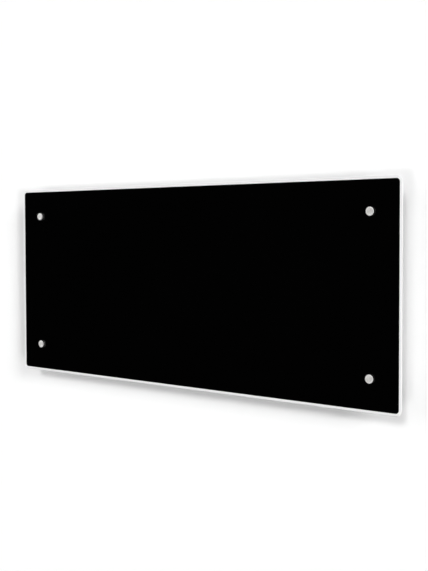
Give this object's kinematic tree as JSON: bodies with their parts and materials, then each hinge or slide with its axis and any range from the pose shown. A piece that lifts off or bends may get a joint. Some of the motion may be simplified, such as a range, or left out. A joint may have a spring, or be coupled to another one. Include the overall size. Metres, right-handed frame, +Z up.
{
  "type": "infrared panel heater",
  "caption": "Wall-hung infrared panel heater: black glass front in a thin white rim, round metal corner caps, shallow steel tray behind, hung on a wall bracket.",
  "frame": {"origin": "centre of the wall bracket's four screw holes, on the wall plane", "axes": "+X to the right along the wall as seen from the room, +Y into the wall, +Z up"},
  "size_m": [0.8, 0.0643, 0.34],
  "materials": {
    "black_glass": "polished, opaque black enamel behind",
    "rim_paint": "smooth white powder coat",
    "tray_paint": "fine-textured white powder coat",
    "cap_metal": "turned and brushed",
    "silicone": "translucent white silicone",
    "plated_steel": "bright zinc plated",
    "mica_sheet": "matt pressed mica",
    "element_foil": "etched resistance foil",
    "brass_parts": "bright",
    "ceramic_white": "unglazed",
    "carrier_aluminium": "mill finish",
    "mineral_wool": "pressed fibre",
    "buffer_rubber": "matt",
    "bracket_zinc": "galvanised",
    "fascia_plastic": "fine spark-eroded texture",
    "window_plastic": "polished, dark tint",
    "button_plastic": "satin",
    "rocker_plastic": "semi-gloss",
    "board_green": "solder resist",
    "display_black": "moulded",
    "module_can": "tinned",
    "relay_blue": "moulded",
    "holder_grey": "moulded",
    "terminal_green": "moulded",
    "capacitor_sleeve": "shrink sleeve",
    "ribbon_grey": "satin",
    "cutout_body": "plain",
    "element_wire": "silicone and glass braid",
    "switch_wire": "satin",
    "earth_wire": "satin",
    "sensor_metal": "plain"
  },
  "bodies": {
    "bracket": {"bracket_strip_left": "bracket_zinc", "bracket_strip_right": "bracket_zinc", "bracket_rail_upper": "bracket_zinc", "bracket_rail_lower": "bracket_zinc", "bracket_rivets": "bracket_zinc"},
    "heater": {"front_glass": "black_glass", "rim_frame": "rim_paint", "rear_tray": "tray_paint", "clamp_caps": "cap_metal", "cap_washers": "silicone", "glass_bushes": "silicone", "gland_seal": "silicone", "standoff_posts": "plated_steel", "post_screws": "plated_steel", "carrier_screws": "plated_steel", "mat_straps": "plated_steel", "bay_partition": "plated_steel", "earth_stud": "plated_steel", "earth_nut": "plated_steel", "board_screws": "plated_steel", "front_mica": "mica_sheet", "rear_mica": "mica_sheet", "heating_foil": "element_foil", "element_terminals": "brass_parts", "switch_tabs": "brass_parts", "board_stands": "brass_parts", "terminal_bushes": "ceramic_white", "carrier_plate": "carrier_aluminium", "insulation_mat": "mineral_wool", "bay_pad": "mineral_wool", "wall_buffers": "buffer_rubber", "control_fascia": "fascia_plastic", "switch_housing": "fascia_plastic", "gland_body": "fascia_plastic", "gland_nut": "fascia_plastic", "gland_locknut": "fascia_plastic", "display_window": "window_plastic", "main_board": "board_green", "display_board": "board_green", "digit_display": "display_black", "tact_switches": "display_black", "supply_block": "display_black", "wireless_module": "module_can", "relay": "relay_blue", "fuse_holder": "holder_grey", "ribbon_socket": "holder_grey", "terminal_block": "terminal_green", "capacitors": "capacitor_sleeve", "ribbon_cable": "ribbon_grey", "overheat_cutout": "cutout_body", "element_leads": "element_wire", "cutout_leads": "element_wire", "switch_leads": "switch_wire", "earth_lead": "earth_wire", "room_sensor": "sensor_metal"},
    "rocker": {"switch_rocker": "rocker_plastic"},
    "minus_key": {"button_minus": "button_plastic"},
    "plus_key": {"button_plus": "button_plastic"},
    "mode_key": {"button_mode": "button_plastic"}
  },
  "joints": [
    {"name": "hang_lift", "type": "slide", "parent": "bracket", "child": "heater", "axis": [0, 0, 1], "range_m": [0, 0.013]},
    {"name": "rocker_tilt", "type": "hinge", "parent": "heater", "child": "rocker", "pos_m": [0.373, -0.036, 0.07], "axis": [0, 1, 0], "range_deg": [0, 18]},
    {"name": "press_minus", "type": "slide", "parent": "heater", "child": "minus_key", "axis": [0, 0, -1], "range_m": [0, 0.0008], "stiffness_N_per_m": 300, "springref_m": -0.001},
    {"name": "press_plus", "type": "slide", "parent": "heater", "child": "plus_key", "axis": [0, 0, -1], "range_m": [0, 0.0008], "stiffness_N_per_m": 300, "springref_m": -0.001},
    {"name": "press_mode", "type": "slide", "parent": "heater", "child": "mode_key", "axis": [0, 0, -1], "range_m": [0, 0.0008], "stiffness_N_per_m": 300, "springref_m": -0.001}
  ]
}
